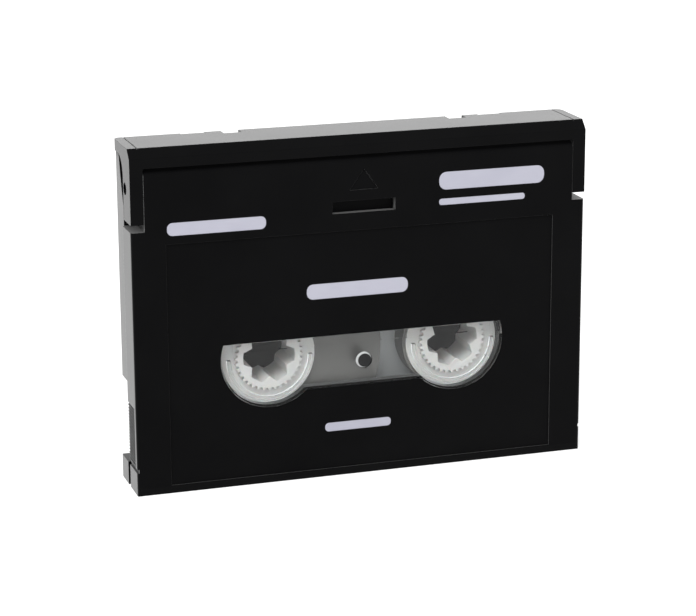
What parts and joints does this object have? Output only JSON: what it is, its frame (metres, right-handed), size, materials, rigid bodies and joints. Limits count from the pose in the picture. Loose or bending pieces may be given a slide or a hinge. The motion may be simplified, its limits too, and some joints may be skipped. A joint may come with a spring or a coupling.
{
  "type": "data tape cartridge",
  "caption": "Flat data tape cartridge with a clear window over its reels, a front lid that swings up, a slider over the hub holes, splined hubs, a reel brake and a write-protect tab.",
  "frame": {"origin": "centre of the spine's footprint, on the plane the cartridge stands on", "axes": "+X across the width toward the take-up reel, +Y from the label face to the slider face, +Z from the spine to the front lid"},
  "size_m": [0.073, 0.0104, 0.054],
  "materials": {
    "shell_black": "fine moulded black styrene, low sheen",
    "lid_black": "moulded black plastic, slight gloss",
    "slider_black": "moulded black plastic, slight gloss",
    "window_clear": "clear moulded polystyrene",
    "prism_clear": "clear moulded acrylic",
    "hub_white": "natural white acetal",
    "brake_white": "natural white acetal",
    "tab_grey": "light grey moulded plastic",
    "tape_wound": "edge of wound tape, satin grey",
    "tape_film": "coated polyester film",
    "liner_film": "translucent grey polyester sheet",
    "pin_steel": "ground stainless steel",
    "spring_steel": "drawn spring wire",
    "screw_steel": "zinc-plated steel"
  },
  "bodies": {
    "cartridge": {"upper_shell": "shell_black", "lower_shell": "shell_black", "window": "window_clear", "tape_run": "tape_film", "upper_liner_sheet": "liner_film", "lower_liner_sheet": "liner_film", "guide_pin_left": "pin_steel", "guide_pin_right": "pin_steel", "end_sensor_prism_left": "prism_clear", "end_sensor_prism_right": "prism_clear", "brake_spring": "spring_steel", "slider_spring": "spring_steel", "lid_spring": "spring_steel", "screw_rear_left": "screw_steel", "screw_rear_right": "screw_steel", "screw_front_left": "screw_steel", "screw_front_right": "screw_steel"},
    "lid": {"front_lid": "lid_black"},
    "slider_body": {"slider": "slider_black"},
    "supply_reel": {"supply_hub": "hub_white", "supply_leader_clamp": "hub_white", "supply_tape_pack": "tape_wound"},
    "takeup_reel": {"takeup_hub": "hub_white", "takeup_leader_clamp": "hub_white", "takeup_tape_turns": "tape_wound"},
    "brake": {"reel_brake": "brake_white"},
    "tab": {"write_protect_tab": "tab_grey"}
  },
  "joints": [
    {"name": "slider_slide", "type": "slide", "parent": "cartridge", "child": "slider_body", "axis": [0, 0, -1], "range_m": [0, 0.0125], "stiffness_N_per_m": 30, "springref_m": -0.006, "deforming": ["slider_spring"]},
    {"name": "lid_hinge", "type": "hinge", "parent": "cartridge", "child": "lid", "pos_m": [0, -0.002, 0.0476], "axis": [1, 0, 0], "range_deg": [0, 85], "stiffness_Nm_per_rad": 0.0002, "springref_deg": -45.84},
    {"name": "brake_slide", "type": "slide", "parent": "cartridge", "child": "brake", "axis": [0, 0, 1], "range_m": [0, 0.0009], "stiffness_N_per_m": 60, "springref_m": -0.0015, "deforming": ["brake_spring"]},
    {"name": "supply_spin", "type": "hinge", "parent": "cartridge", "child": "supply_reel", "pos_m": [-0.015, 0, 0.02], "axis": [0, 1, 0], "continuous": true},
    {"name": "takeup_spin", "type": "hinge", "parent": "cartridge", "child": "takeup_reel", "pos_m": [0.015, 0, 0.02], "axis": [0, 1, 0], "continuous": true},
    {"name": "tab_slide", "type": "slide", "parent": "cartridge", "child": "tab", "axis": [1, 0, 0], "range_m": [0, 0.0032]}
  ],
  "couplings": [
    {"joint": "lid_hinge", "follows": "slider_slide", "rad_per_m": 118.68},
    {"joint": "brake_slide", "follows": "slider_slide", "ratio": 0.072}
  ]
}
